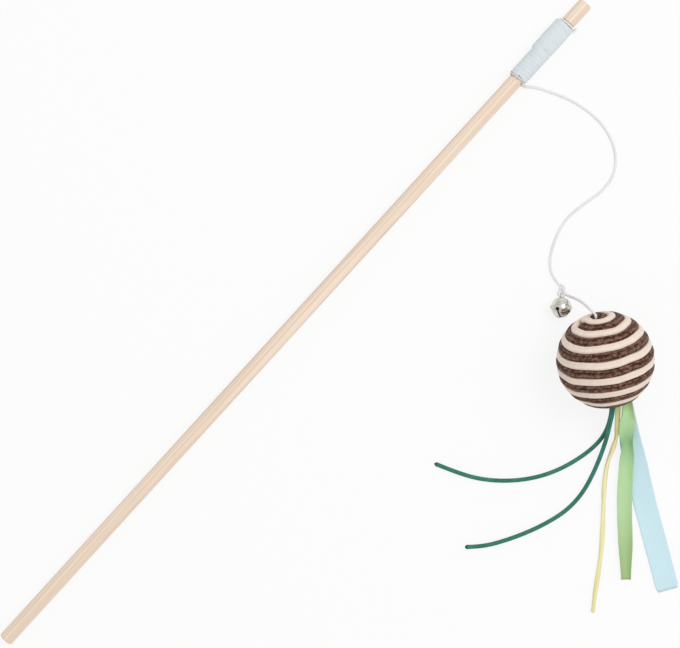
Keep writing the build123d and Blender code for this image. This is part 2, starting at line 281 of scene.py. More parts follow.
def makeWeaveGroup():
    # crossed threads
    group, enter, leave = groupOf(
        "threadWeave",
        [("Warp", 30.0), ("Weft", 24.0), ("Slub", 2.0)],
        ["Shade", "Height"],
    )
    run, across = mapRun(group)
    weft = mathNode(group, "PINGPONG", times(group, run, enter.outputs["Weft"]), 0.5)
    warp = mathNode(group, "PINGPONG", times(group, across, enter.outputs["Warp"]), 0.5)
    threads = mathNode(group, "ADD", weft, warp)
    stretch = group.nodes.new("ShaderNodeCombineXYZ")
    group.links.new(times(group, run, enter.outputs["Slub"]), stretch.inputs["X"])
    group.links.new(times(group, across, 16.0), stretch.inputs["Y"])
    streak = noiseNode(group, stretch.outputs[0], 1.0, 3.0, 0.5)
    shadeSlub = times(group, streak, 0.65)
    heightSlub = times(group, streak, 0.3)
    group.links.new(timesAdd(group, threads, 0.35, shadeSlub), leave.inputs["Shade"])
    group.links.new(timesAdd(group, threads, 0.7, heightSlub), leave.inputs["Height"])
    return group


def makeMottleGroup():
    # patches of tone over a whole piece
    group, enter, leave = groupOf("toneMottle", [("Scale", 120.0), ("Amount", 1.0)], ["Patch"])
    place = group.nodes.new("ShaderNodeTexCoord")
    cloud = noiseNode(group, place.outputs["Object"], enter.outputs["Scale"], 4.0, 0.6)
    swing = times(group, mathNode(group, "SUBTRACT", cloud, 0.5), enter.outputs["Amount"])
    group.links.new(mathNode(group, "ADD", swing, 0.5), leave.inputs["Patch"])
    return group


fibreGroup = makeFibreGroup()
weaveGroup = makeWeaveGroup()
mottleGroup = makeMottleGroup()


def startMaterial(name, roughness):
    material = bpy.data.materials.new(name)
    material.use_nodes = True
    tree = material.node_tree
    principled = tree.nodes["Principled BSDF"]
    principled.inputs["Roughness"].default_value = roughness
    return material, tree, principled


def setSockets(principled, values):
    for label, value in values.items():
        principled.inputs[label].default_value = value


def clothSheen(principled, look, roughness):
    setSockets(principled, {"Sheen Weight": look["sheen"], "Sheen Roughness": roughness})
    setSockets(principled, {"Specular IOR Level": look["shine"]})


def placeGroup(tree, group, values):
    node = tree.nodes.new("ShaderNodeGroup")
    node.node_tree = group
    for label, value in values.items():
        node.inputs[label].default_value = value
    return node


def toneRamp(tree, factor, stops):
    ramp = tree.nodes.new("ShaderNodeValToRGB")
    elements = ramp.color_ramp.elements
    while len(elements) < len(stops):
        elements.new(0.5)
    for element, (at, colour) in zip(elements, stops):
        element.position = at
        element.color = colour
    tree.links.new(factor, ramp.inputs["Fac"])
    return ramp.outputs["Color"]


def mixTone(tree, factor, first, second, blend="MIX"):
    node = tree.nodes.new("ShaderNodeMix")
    node.data_type = "RGBA"
    node.blend_type = blend
    for value, label in ((factor, "Factor"), (first, "A"), (second, "B")):
        socket = next(s for s in node.inputs if s.name == label and s.enabled)
        if isinstance(value, (int, float, tuple)):
            socket.default_value = value
        else:
            tree.links.new(value, socket)
    return next(s for s in node.outputs if s.enabled)


def raiseBump(tree, principled, height, strength, distance):
    bump = tree.nodes.new("ShaderNodeBump")
    bump.inputs["Strength"].default_value = strength
    bump.inputs["Distance"].default_value = distance
    tree.links.new(height, bump.inputs["Height"])
    tree.links.new(bump.outputs["Normal"], principled.inputs["Normal"])


makeCamera()
makeFloor()
makeLight()
print("camera, floor and light are in place")


# Finishes


def fibreFinish(name, look):
    material, tree, principled = startMaterial(name, look["roughness"])
    lay = placeGroup(tree, *fibresOf(look))
    patch = placeGroup(tree, mottleGroup, {"Scale": look["mottle"], "Amount": 0.9})
    # the fibre pattern brings painted shade into the grooves between the plies
    fibres = times(tree, lay.outputs["Shade"], 1.2 - look["patchy"])
    mixed = timesAdd(tree, patch.outputs["Patch"], look["patchy"], fibres)
    swing = look["swing"]
    stops = [(0.6 - swing, look["dark"]), (0.6, look["middle"]), (0.6 + swing, look["light"])]
    tone = toneRamp(tree, mixed, stops)
    tree.links.new(tone, principled.inputs["Base Color"])
    clothSheen(principled, look, 0.5)
    grain = timesAdd(tree, patch.outputs["Patch"], look["patchy"], lay.outputs["Height"])
    raiseBump(tree, principled, grain, look["bump"], 0.00015)
    return material


def runTones(tree, tones):
    # colour that changes along the run, part dye and part painted shade and painted light: centimetres
    # and the colour there
    length = tones[-1][0]
    share = mathNode(tree, "DIVIDE", mapRun(tree)[0], length)
    return toneRamp(tree, share, [(at / length, shade(*tone)) for at, *tone in tones])


def dyeAndPaintedShadeFinish(name, look, threads):
    # threads over a colour that changes along the run, part dye and part painted shade and painted light
    material, tree, principled = startMaterial(name, look["roughness"])
    patch = placeGroup(tree, mottleGroup, {"Scale": look["mottle"], "Amount": 0.7})
    part = times(tree, patch.outputs["Patch"], 0.5)
    lay = placeGroup(tree, *threads)
    mixed = timesAdd(tree, lay.outputs["Shade"], 0.6, part)
    depth = toneRamp(tree, mixed, [(0.3, grey(1 - look["depth"])), (0.7, grey(1.0))])
    tone = mixTone(tree, 1.0, runTones(tree, look["tones"]), depth, "MULTIPLY")
    tree.links.new(tone, principled.inputs["Base Color"])
    clothSheen(principled, look, 0.4)
    raiseBump(tree, principled, lay.outputs["Height"], look["bump"], 0.00008)
    return material


def weaveOf(look):
    return weaveGroup, {"Warp": look["warp"], "Weft": look["weft"], "Slub": look["slub"]}


def fibresOf(look):
    return fibreGroup, {"Plies": look["plies"], "Along": look["along"], "Fibres": look["fibres"]}


dowelWood = {
    "early": shade(243, 224, 205),
    "late": shade(228, 205, 182),
    "fleck": shade(204, 174, 145),
    "pith": (0.0, 0.021, -0.034),  # the tree's middle lay beside the rod
    "rings": 800.0,  # a metre
    "wander": 0.0016,
    "stretch": (9, 520, 520),
    "pores": (40, 2600, 2600),
}


def rodWood():
    material, tree, principled = startMaterial("sandedDowel", 0.6)
    place = tree.nodes.new("ShaderNodeTexCoord").outputs["Object"]
    grain = noiseNode(tree, vectorNode(tree, "MULTIPLY", place, dowelWood["stretch"]), 1.0, 5.0, 0.6)
    pores = noiseNode(tree, vectorNode(tree, "MULTIPLY", place, dowelWood["pores"]), 1.0, 2.0, 0.5)
    slow = noiseNode(tree, vectorNode(tree, "MULTIPLY", place, (6, 90, 90)), 1.0, 2.0, 0.5)
    flat = vectorNode(tree, "MULTIPLY", place, (0, 1, 1))
    away = vectorNode(tree, "LENGTH", vectorNode(tree, "ADD", flat, dowelWood["pith"]), None)
    bent = timesAdd(tree, slow, dowelWood["wander"], away)
    ring = mathNode(tree, "PINGPONG", times(tree, bent, dowelWood["rings"]), 0.5)
    mixed = timesAdd(tree, ring, 0.6, times(tree, grain, 0.7))
    tone = toneRamp(tree, mixed, [(0.34, dowelWood["late"]), (0.62, dowelWood["early"])])
    flecks = toneRamp(tree, pores, [(0.62, grey(0.0)), (0.74, grey(1.0))])
    fleckAmount = times(tree, flecks, 0.35)
    tree.links.new(mixTone(tree, fleckAmount, tone, dowelWood["fleck"]), principled.inputs["Base Color"])
    tree.links.new(timesAdd(tree, grain, 0.25, 0.48), principled.inputs["Roughness"])
    principled.inputs["Specular IOR Level"].default_value = 0.3
    raiseBump(tree, principled, mathNode(tree, "SUBTRACT", mixed, flecks), 0.25, 0.0001)
    return material


nickel = {"bright": shade(232, 230, 222), "dull": shade(190, 186, 172), "mottle": 420.0}


def nickelPlate():
    material, tree, principled = startMaterial("nickelPlate", 0.2)
    patch = placeGroup(tree, mottleGroup, {"Scale": nickel["mottle"], "Amount": 1.0}).outputs["Patch"]
    tone = toneRamp(tree, patch, [(0.3, nickel["dull"]), (0.62, nickel["bright"])])
    tree.links.new(tone, principled.inputs["Base Color"])
    principled.inputs["Metallic"].default_value = 1.0
    tree.links.new(timesAdd(tree, patch, 0.25, 0.1), principled.inputs["Roughness"])
    raiseBump(tree, principled, patch, 0.08, 0.0002)
    return material


# Makers for swept cords and strips


def routePlaces(name, points, fineness):
    # places read along the smooth line that the route's points steer
    curve = bpy.data.curves.new(name + "Route", "CURVE")
    curve.dimensions = "3D"
    curve.resolution_u = fineness
    spline = curve.splines.new("NURBS")
    spline.points.add(len(points) - 1)
    for point, place in zip(spline.points, points):
        point.co = (*place, 1.0)
    spline.order_u = 3
    spline.use_endpoint_u = True
    route = bpy.data.objects.new(name + "Route", curve)
    scene.collection.objects.link(route)
    line = bpy.data.meshes.new_from_object(route)
    places = [vertex.co.copy() for vertex in line.vertices]
    bpy.data.objects.remove(route)
    bpy.data.meshes.remove(line)
    return places


def runsOf(places):
    runs = [0.0]
    for first, last in zip(places, places[1:]):
        runs.append(runs[-1] + (last - first).length)
    return runs


def carriedFrames(places, upAt):
    # side and up at each place: up is carried along, or steered by upAt
    frames = []
    up = upright
    last = len(places) - 1
    for index, place in enumerate(places):
        way = (places[min(index + 1, last)] - places[max(index - 1, 0)]).normalized()
        if upAt:
            up = upAt(place)
        if abs(up.dot(way)) > 0.98:
            up = mouthRise
        up = (up - way * up.dot(way)).normalized()
        frames.append((up.cross(way), up))
    return frames


def keepMesh(name, verts, faces, marks):
    mesh = bpy.data.meshes.new(name)
    mesh.from_pydata(verts, [], faces)
    layer = mesh.uv_layers.new(name="lay")
    for loop, mark in zip(layer.data, marks):
        loop.uv = mark
    mesh.polygons.foreach_set("use_smooth", [True] * len(mesh.polygons))
    mesh.update()
    piece = bpy.data.objects.new(name, mesh)
    scene.collection.objects.link(piece)
    return piece


def tubeParts(places, sectionAt, upAt, first):
    # rings of a section with a cap at each end; the map keeps the run and the way round
    runs = runsOf(places)
    frames = carriedFrames(places, upAt)
    rings = []
    for place, run, (side, up) in zip(places, runs, frames):
        rings.append([place + side * a + up * b for a, b in sectionAt(run, runs[-1])])
    corners = len(rings[0])
    verts = [corner for ring in rings for corner in ring]
    faces = []
    marks = []
    for row in range(len(rings) - 1):
        low, high = runs[row] * 100, runs[row + 1] * 100
        for column in range(corners):
            start = first + row * corners
            after = start + (column + 1) % corners
            faces.append((start + column, after, after + corners, start + corners + column))
            left, right = column / corners, (column + 1) / corners
            marks += [(low, left), (low, right), (high, right), (high, left)]
    for row, order in ((0, -1), (len(rings) - 1, 1)):
        cap = list(range(corners))[::order]
        faces.append([first + row * corners + column for column in cap])
        marks += [(runs[row] * 100, column / corners) for column in cap]
    return verts, faces, marks


def sweepRound(name, places, sectionAt, upAt=None):
    return keepMesh(name, *tubeParts(places, sectionAt, upAt, 0))


def gridFaces(rows, columns):
    faces = []
    for row in range(rows):
        for start in range(row * (columns + 1), row * (columns + 1) + columns):
            faces.append((start, start + 1, start + columns + 2, start + columns + 1))
    return faces


def sweepStrip(name, places, columns, profileAt):
    # a grid across the strip, which lies level; the map keeps the run and the way across
    runs = runsOf(places)
    frames = carriedFrames(places, lambda place: upright)
    verts = []
    across = []
    for place, run, (side, up) in zip(places, runs, frames):
        for column in range(columns + 1):
            a, b = profileAt(run, runs[-1], column / columns * 2 - 1)
            verts.append(place + side * a + up * b)
            across.append(a)
    faces = gridFaces(len(places) - 1, columns)
    marks = [(runs[at // (columns + 1)] * 100, across[at] * 100) for corners in faces for at in corners]
    return keepMesh(name, verts, faces, marks)


def thicken(piece, thickness):
    bpy.ops.object.select_all(action="DESELECT")
    bpy.context.view_layer.objects.active = piece
    piece.select_set(True)
    wall = piece.modifiers.new("clothWall", "SOLIDIFY")
    wall.thickness = thickness
    wall.offset = 0
    bpy.ops.object.modifier_apply(modifier=wall.name)


def turnsOf(corners):
    return [2 * pi * corner / corners for corner in range(corners)]


def plySection(radius, plies, pitch, depth, corners):
    # plies twisted round each other, with a rounded end
    def sectionAt(run, total):
        turn = 2 * pi * run / pitch
        left = min(run, total - run) / radius
        ease = 1.0 if left >= 1 else sqrt(max(0.05, 1 - (1 - left) ** 2))
        section = []
        for around in turnsOf(corners):
            lobe = sqrt(abs(cos(plies * around / 2)))
            reach = radius * ease * (1 - depth + depth * lobe)
            section.append((reach * cos(turn + around), reach * sin(turn + around)))
        return section

    return sectionAt


def settle(piece, finish, slotName, body, *nodes):
    piece.data.materials.append(finish)
    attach(piece, body)
    if nodes:
        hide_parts(*nodes)
    return piece


restingLift = 0.0001  # of a cord that lies on the floor


def onFloor(steps, origin, radius):
    # a step without a lift of its own rests
    points = []
    for x, y, *lift in steps:
        height = floorHeight + radius + (lift[0] if lift else restingLift)
        points.append(Vector((origin.x + x, origin.y + y, height)))
    return points


# White cord: lashed to the rod, out to the knot and on to the ball

whiteCord = {
    "radius": 0.0007,
    "lobes": 3,
    "pitch": 0.0046,
    "lobeDepth": 0.08,
    "fineness": 30,
    "dark": shade(218, 218, 220), "middle": shade(234, 234, 235), "light": shade(243, 243, 244),
    "plies": 3.0, "along": 6.0, "fibres": 5.0,
    "mottle": 200.0,
    "swing": 0.2,  # how much of the noise takes it from dark to light
    "patchy": 0.45,
    "roughness": 0.85, "sheen": 0.2, "shine": 0.15, "bump": 0.25,
}
whiteFinish = fibreFinish("whiteTwistedCord", whiteCord)
knotCentre = pivots["lower_cord_swing"]
swingPoint = pivots["cord_swing"]
upperSteps = [
    (0.003, -0.0032), (0.0064, -0.01), (0.0106, -0.021), (0.0124, -0.0325), (0.0113, -0.0432),
    (0.0064, -0.0529), (-0.0016, -0.0591), (-0.011, -0.0601), (-0.0215, -0.0576), (-0.0322, -0.056),
    (-0.0434, -0.059), (-0.0525, -0.064), (-0.0566, -0.0704),
]
lowerSteps = [
    (0.01185, 0.0208, 0.0274), (0.01243, 0.0231, 0.0222), (0.01275, 0.0254, 0.0158),
    (0.01267, 0.0276, 0.0096), (0.0122, 0.0297, 0.0049), (0.0114, 0.0318, 0.0023),
]
lowerEnd = Vector((-0.00075, -0.00145, 0.0))  # from the knot's middle to its lower strand


def whiteSection(radius=whiteCord["radius"], corners=18):
    return plySection(radius, whiteCord["lobes"], whiteCord["pitch"], whiteCord["lobeDepth"], corners)


def makeFreeCord(name, points, body, node):
    places = routePlaces(name, points, whiteCord["fineness"])
    cord = sweepRound(name, places, whiteSection())
    settle(cord, whiteFinish, "white_cord", body, node)
    return cord, places


upperPoints = [swingPoint] + onFloor(upperSteps, swingPoint, whiteCord["radius"]) + [knotCentre]
lowerPoints = [pivots["ball_swing"]] + onFloor(lowerSteps, ballCentre, whiteCord["radius"])
lowerPoints.append(knotCentre + lowerEnd)
upperCord, upperPlaces = makeFreeCord("upperCord", upperPoints, "upper_cord", "upper_cord")
lowerCord, lowerPlaces = makeFreeCord("lowerCord", lowerPoints, "lower_cord", "lower_cord")
print("free cords:", round(runsOf(upperPlaces)[-1], 4), round(runsOf(lowerPlaces)[-1], 4))

tiedKnot = {"reach": 0.0004, "height": 0.00075, "radius": 0.00062, "steps": 90}


def knotPlaces(centre, side, up):
    # an overhand knot pulled tight, which crosses itself three times
    way = side.cross(up)
    places = []
    for step in range(tiedKnot["steps"] + 1):
        turn = 2 * pi * step / tiedKnot["steps"]
        a = sin(turn) + 2 * sin(2 * turn)
        b = cos(turn) - 2 * cos(2 * turn)
        c = -sin(3 * turn)
        places.append(centre + (side * a + way * b) * tiedKnot["reach"] + up * c * tiedKnot["height"])
    return places


def makeKnot(name, centre, side, up, body, node):
    knot = sweepRound(name, knotPlaces(centre, side, up), whiteSection(tiedKnot["radius"], 14))
    return settle(knot, whiteFinish, "white_cord", body, node)


bellWay = middleOf("bell_cup") - pivots["bell_swing"]
bellWay.z = 0
bellWay.normalize()
bellKnot = makeKnot("bellKnot", knotCentre, bellWay, upright, "upper_cord", "bell_knot")
makeKnot("stopperKnot", middleOf("stopper_knot"), mouthSide, pole, "ball", "stopper_knot")

cordLoop = {"radius": 0.00135, "steps": 60}


def makeBellLoop():
    # the short loop that the bell's eye turns on
    reach = (pivots["bell_swing"] - knotCentre).normalized()
    across = bellWay.cross(upright)
    middle = pivots["bell_swing"] - reach * cordLoop["radius"]
    places = []
    for step in range(cordLoop["steps"] + 1):
        turn = 2 * pi * step / cordLoop["steps"] + pi
        places.append(middle + (reach * cos(turn) + across * sin(turn)) * cordLoop["radius"])
    loop = sweepRound("bellLoop", places, whiteSection())
    return settle(loop, whiteFinish, "white_cord", "upper_cord", "bell_loop")


bellLoop = makeBellLoop()

innerCord = {"depth": 0.030, "steps": 60}


def makeInnerCord():
    # from the ball's pole down to its stopper
    top = pivots["ball_swing"]
    steps = innerCord["steps"]
    places = [top - pole * innerCord["depth"] * step / steps for step in range(steps + 1)]
    cord = sweepRound("innerCord", places, whiteSection(), lambda place: mouthRise)
    settle(cord, whiteFinish, "white_cord", "ball", "inner_cord")


makeInnerCord()

lashing = {
    "turns": 18.625,
    "firstTurn": 0.35235,
    "lastTurn": 0.38695,
    "orbit": 0.00365,
    "tail": 0.0022,
    "perTurn": 26,
    "leadSteps": 12,
    "tailSteps": 6,
}


def onRod(along, left, high):
    return rodWay * along + Vector((0, left, 0)) + rodUp * high


def makeLashing():
    pitch = (lashing["lastTurn"] - lashing["firstTurn"]) / lashing["turns"]
    steps = round(lashing["turns"] * lashing["perTurn"])
    orbit = lashing["orbit"]
    coil = []
    for step in range(steps + 1):
        turned = lashing["turns"] * step / steps
        angle = 2 * pi * turned - pi / 2
        along = lashing["firstTurn"] + pitch * turned
        coil.append(onRod(along, orbit * cos(angle), orbit * sin(angle)))
    leadSteps, tailSteps = lashing["leadSteps"], lashing["tailSteps"]
    lead = [swingPoint + (coil[0] - swingPoint) * part / leadSteps for part in range(leadSteps)]
    tailWay = (coil[-1] - coil[-2]).normalized()
    tail = [coil[-1] + tailWay * lashing["tail"] * part / tailSteps for part in range(1, tailSteps + 1)]
    cord = sweepRound("lashingCord", lead + coil + tail, whiteSection())
    settle(cord, whiteFinish, "white_cord", "wand", "lashing_cord")
    return tail[-2], tailWay


tailEnd, tailWay = makeLashing()

frayedTail = {"fibres": 34, "length": 0.0021, "spread": 0.75, "radius": 0.00007, "steps": 6, "seed": 11}


def makeFray():
    # loose fibres that fan out of the lashing's cut end
    chance = random.Random(frayedTail["seed"])
    verts, faces, marks = [], [], []
    for fibre in range(frayedTail["fibres"]):
        lean = Vector([chance.uniform(-1, 1) for axis in range(3)]) * frayedTail["spread"]
        droop = Vector([chance.uniform(-1, 1) for axis in range(3)]) * 0.35
        length = frayedTail["length"] * chance.uniform(0.45, 1.0)
        root = tailEnd + lean * 0.0004
        way = (tailWay + lean).normalized()
        places = []
        for step in range(frayedTail["steps"] + 1):
            part = step / frayedTail["steps"]
            places.append(root + (way + droop * part) * length * part)

        def fibreSection(run, total):
            reach = frayedTail["radius"] * (1 - 0.6 * run / total)
            return [(reach * cos(turn), reach * sin(turn)) for turn in (0.0, 1.571, 3.142, 4.712)]

        parts = tubeParts(places, fibreSection, None, len(verts))
        verts += parts[0]
        faces += parts[1]
        marks += parts[2]
    settle(keepMesh("lashingFray", verts, faces, marks), whiteFinish, "white_cord", "wand")


makeFray()
print("lashing, knots and loop are tied")


# Ribbon wound over the lashing

wrap = {
    "width": 0.010,
    "layer": 0.00008,
    "bore": 0.00443,
    "start": 0.35325,
    "end": 0.38605,
    "pitch": 0.0066,
    "perTurn": 72,
    "columns": 20,
    "thickness": 0.00008,
    "edgeEase": 0.0011,  # over which an edge below shows as a slope
    "ridge": [(0.354, 0.00017), (0.366, 0.00014), (0.3715, 0.00003)],  # how far the cord's turns show
    "fold": 0.0008,  # how far the doubled half stands off on the +Y side
    "foldAngle": 0.25,
    "foldFrom": 0.3672,
    "foldEase": 0.0022,
    "slack": 0.00006,
    "tones": [(0.0, 223, 230, 233), (20.0, 223, 230, 233)],
    "depth": 0.16,
    "mottle": 260.0,
    "warp": 26.0, "weft": 26.0, "slub": 1.5,
    "roughness": 0.75, "sheen": 0.25, "shine": 0.2, "bump": 0.3,
}


def wrapTrack():
    # where the ribbon's middle runs along the rod, turn by turn
    low = wrap["start"] + wrap["width"] / 2
    high = wrap["end"] - wrap["width"] / 2
    legs = [
        (high - wrap["pitch"], high, 1.0),
        (high, high, 0.8),
        (high, low, (high - low) / wrap["pitch"]),
        (low, low, 0.9),
    ]
    track = []
    turned = 0.0
    for start, end, turns in legs:
        steps = round(turns * wrap["perTurn"])
        for step in range(steps):
            track.append((turned + turns * step / steps, start + (end - start) * step / steps))
        turned += turns
    return track


def layersUnder(track, index, along):
    under = 0.0
    for below in range(index - wrap["perTurn"], -1, -wrap["perTurn"]):
        reach = wrap["width"] / 2 - abs(along - track[below][1])
        under += clamped(reach / wrap["edgeEase"] + 0.5)
    return under


def wrapRadius(along, turned, angle, lift):
    lashPitch = (lashing["lastTurn"] - lashing["firstTurn"]) / lashing["turns"]
    lash = (along - lashing["firstTurn"]) / lashPitch + 0.25 - angle / (2 * pi)
    ridge = between(wrap["ridge"], along) * cos(2 * pi * lash) / (1 + 0.5 * lift)
    fold = wrap["fold"] * clamped((along - wrap["foldFrom"]) / wrap["foldEase"])
    fold *= max(0.0, cos(angle - wrap["foldAngle"])) ** 2
    slack = wrap["slack"] * noise.noise(Vector((along * 500, turned * 3, 0)))
    return wrap["bore"] + wrap["layer"] * lift + ridge + fold + slack


def makeWrap():
    track = wrapTrack()
    columns = wrap["columns"]
    shares = [column / columns - 0.5 for column in range(columns + 1)]
    lifts = []
    for index, (turned, middle) in enumerate(track):
        lifts.append([layersUnder(track, index, middle + share * wrap["width"]) for share in shares])
    verts = []
    for index, (turned, middle) in enumerate(track):
        angle = 2 * pi * turned + 0.6
        near = lifts[max(0, index - 2) : index + 3]
        for column, share in enumerate(shares):
            along = min(max(middle + share * wrap["width"], wrap["start"]), wrap["end"])
            lift = sum(row[column] for row in near) / len(near)
            radius = wrapRadius(along, turned, angle, lift)
            verts.append(onRod(along, radius * cos(angle), radius * sin(angle)))
    span = 2 * pi * wrap["bore"] * 100
    # the wound way round turns the faces about
    faces = [(a, d, c, b) for a, b, c, d in gridFaces(len(track) - 1, columns)]
    marks = []
    for at in (corner for corners in faces for corner in corners):
        row, column = divmod(at, columns + 1)
        marks.append((track[row][0] * span, column / columns * wrap["width"] * 100))
    ribbon = keepMesh("wrapRibbon", verts, faces, marks)
    thicken(ribbon, wrap["thickness"])
    settle(ribbon, dyeAndPaintedShadeFinish("paleWrapCloth", wrap, weaveOf(wrap)), "pale_ribbon", "wand", "wrap_ribbon")


makeWrap()


# Ball: filling, then two strands wound side by side

ballFilling = {
    "radius": 0.0188,
    "mouthDent": 0.0010,
    "dentFrom": 0.86,  # cosine off the mouth where the dent starts
    "dentEase": 0.08,
    "lumps": 9,
    "rough": 0.0003,
    "dark": shade(52, 36, 30), "middle": shade(84, 62, 52), "light": shade(120, 96, 82),
    "plies": 5.0, "along": 6.0, "fibres": 8.0,
    "mottle": 200.0,
    "swing": 0.2,
    "patchy": 0.45,
    "roughness": 0.95, "sheen": 0.1, "shine": 0.1, "bump": 0.6,
}


def makeFilling():
    bpy.ops.object.select_all(action="DESELECT")
    bpy.ops.mesh.primitive_uv_sphere_add(segments=64, ring_count=40, radius=ballFilling["radius"])
    filling = bpy.context.object
    filling.name = "ballFilling"
    for vertex in filling.data.vertices:
        way = vertex.co.normalized()
        dent = ballFilling["mouthDent"] * clamped(
            (-way.dot(pole) - ballFilling["dentFrom"]) / ballFilling["dentEase"]
        )
        bulk = noise.noise(way * ballFilling["lumps"]) * ballFilling["rough"]
        vertex.co = ballCentre + way * (ballFilling["radius"] - dent + bulk)
    bpy.ops.object.shade_smooth()
    finish = fibreFinish("dullFilling", ballFilling)
    settle(filling, finish, "core", "ball", "ball_core", "streamer_plug")


makeFilling()

strand = {
    "orbit": 0.0208,
    "corner": 0.66,  # 1 is round, less is squarer
    "rough": 0.035,
    "corners": 28,
    "pitch": 20.2188,  # degrees of latitude a turn
    "phase": 166.0,
    "mouthLatitude": 28.7,
    "tuckTurn": 80.0,
    "tuckDepth": 0.0046,
    "tuckLead": 0.0034,
    "mouthTuck": 0.0065,
    "stepDegrees": 5.0,  # of turn
    "wander": 1.3,  # degrees of latitude that a hand-wound turn strays by
    "swell": 0.0004,
    "patches": 2.3,  # how many times the straying changes over the ball
    "strayFrom": (18, 12),  # latitude where it sets in, and degrees that it takes
    "strayTo": (148, 15),
    "skinAlong": 420,
    "skinAround": 1.5,
    "tuckSteps": 16,
    "leadSteps": 5,
}
brownYarn = {
    "turn": 0,
    # by turn, listed one by one
    "topLatitudes": [(-125, 7.2), (40, 8.2), (85, 10.5), (135, 14.0), (200, 20.56)],
    "topDepths": [
        (-125, 0.006), (-65, 0.0009), (-20, 0.0002), (85, 0.0),
        (130, 0.003), (160, 0.003), (205, 0.0),
    ],
    "halfWidth": 0.00202,
    "halfHeight": 0.00168,
    "dark": shade(42, 24, 17), "middle": shade(82, 52, 40), "light": shade(132, 98, 83),
    "plies": 7.0, "along": 14.0, "fibres": 7.0,
    "mottle": 640.0,
    "swing": 0.11,
    "patchy": 0.75,
    "roughness": 0.9, "sheen": 0.1, "shine": 0.15, "bump": 0.8,
}
creamYarn = {
    "turn": 180,
    "topLatitudes": [(55, 15.0), (90, 15.5), (130, 16.5), (200, 10.8), (240, 12.69)],
    "topDepths": [(55, 0.0065), (90, 0.0036), (125, 0.0), (150, -0.0003), (190, -0.0002), (240, 0.0)],
    "halfWidth": 0.00182,
    "halfHeight": 0.00162,
    "dark": shade(222, 202, 186), "middle": shade(235, 217, 202), "light": shade(242, 228, 214),
    "plies": 7.0, "along": 8.0, "fibres": 7.0,
    "mottle": 420.0,
    "swing": 0.22,
    "patchy": 0.5,
    "roughness": 0.85, "sheen": 0.1, "shine": 0.2, "bump": 0.4,
}


def onBall(reach, degrees, height):
    x, y = reach * cos(radians(degrees)), reach * sin(radians(degrees))
    return ballCentre + mouthSide * x - mouthRise * y + pole * height


def strayed(latitude, angle, orbit):
    # both strands stray together, and neither does at the cord or the mouth
    (low, lowEase), (high, highEase) = strand["strayFrom"], strand["strayTo"]
    free = clamped((latitude - low) / lowEase) * clamped((high - latitude) / highEase)
    tilt = radians(latitude)
    spot = onBall(sin(tilt), angle, cos(tilt)) - ballCentre
    sideways = noise.noise(spot * strand["patches"])
    outwards = noise.noise(spot * strand["patches"] * 1.6 + Vector((7, 3, 5)))
    latitude += strand["wander"] * free * sideways
    return latitude, orbit + strand["swell"] * free * min(0.0, outwards)


def strandPlaces(yarn):
    # by turn about the pole: listed one by one at the top, then evenly down to the mouth
    degreesATurn = strand["pitch"] / 360
    start = strand["phase"] - yarn["turn"]
    firstTurn = yarn["topLatitudes"][0][0]
    lastTurn = (180 - strand["mouthLatitude"]) / degreesATurn - start
    steps = round((lastTurn - firstTurn) / strand["stepDegrees"])
    body = []
    for step in range(steps + 1):
        angle = firstTurn + (lastTurn - firstTurn) * step / steps
        latitude = (angle + start) * degreesATurn
        if angle < yarn["topLatitudes"][-1][0]:
            latitude = between(yarn["topLatitudes"], angle)
        orbit = strand["orbit"] - between(yarn["topDepths"], angle)
        latitude, orbit = strayed(latitude, angle, orbit)
        reach = orbit * sin(radians(latitude))
        body.append((reach, angle, orbit * cos(radians(latitude))))
    reach, angle, height = body[-1]
    tuck = strand["mouthTuck"]
    for step in range(1, strand["tuckSteps"] + 1):
        part = step / strand["tuckSteps"]
        sink = part * part * strand["tuckDepth"]
        body.append((reach + (tuck - reach) * part, angle + strand["tuckTurn"] * part, height + sink))
    angle, height = body[-1][1:]
    for step in range(1, strand["leadSteps"] + 1):
        body.append((tuck, angle, height + strand["tuckLead"] * step / strand["leadSteps"]))
    return [onBall(*place) for place in body]


def strandSection(yarn):
    # a flattened strand with firm edges and an uneven skin
    def sectionAt(run, total):
        section = []
        for around in turnsOf(strand["corners"]):
            wide, high = cos(around), sin(around)
            across = strand["skinAround"]
            skin = Vector((run * strand["skinAlong"], wide * across, high * across))
            uneven = 1 + strand["rough"] * noise.noise(skin)
            a = copysign(abs(wide) ** strand["corner"], wide) * yarn["halfWidth"] * uneven
            b = copysign(abs(high) ** strand["corner"], high) * yarn["halfHeight"] * uneven
            section.append((a, b))
        return section

    return sectionAt


def makeStrand(name, yarn, slotName, node):
    def outward(place):
        return (place - ballCentre).normalized()

    piece = sweepRound(name, strandPlaces(yarn), strandSection(yarn), outward)
    settle(piece, fibreFinish(name + "Yarn", yarn), slotName, "ball", node)


makeStrand("brownStrand", brownYarn, "brown_yarn", "brown_strand")
makeStrand("creamStrand", creamYarn, "cream_yarn", "cream_strand")
print("ball is wound")


# Streamers

satinCord = {
    "radius": 0.001,
    "corners": 16,
    "fineness": 18,
    "inside": 0.0025,  # length that starts inside the ball
    "dark": shade(26, 86, 70), "middle": shade(42, 114, 96), "light": shade(74, 144, 126),
    "seal": shade(30, 42, 38),
    "sealLength": 0.14,  # centimetres of melted end
    "sealEdge": 9.0,  # how sharply it starts
    "plies": 8.0, "along": 5.0, "fibres": 6.0,
    "mottle": 160.0,
    "swing": 0.2,
    "patchy": 0.45,
    "roughness": 0.55, "sheen": 0.03, "shine": 0.2, "bump": 0.2,
}
tealLongSteps = [
    (-0.0146, -0.0185, 0.0134), (-0.0187, -0.0215, 0.01), (-0.0236, -0.0242, 0.0052),
    (-0.03, -0.0255, 0.001), (-0.0396, -0.0242), (-0.0509, -0.0206), (-0.0614, -0.0148),
    (-0.0709, -0.0066), (-0.0789, 0.0034), (-0.0843, 0.0144), (-0.0879, 0.0244),
]
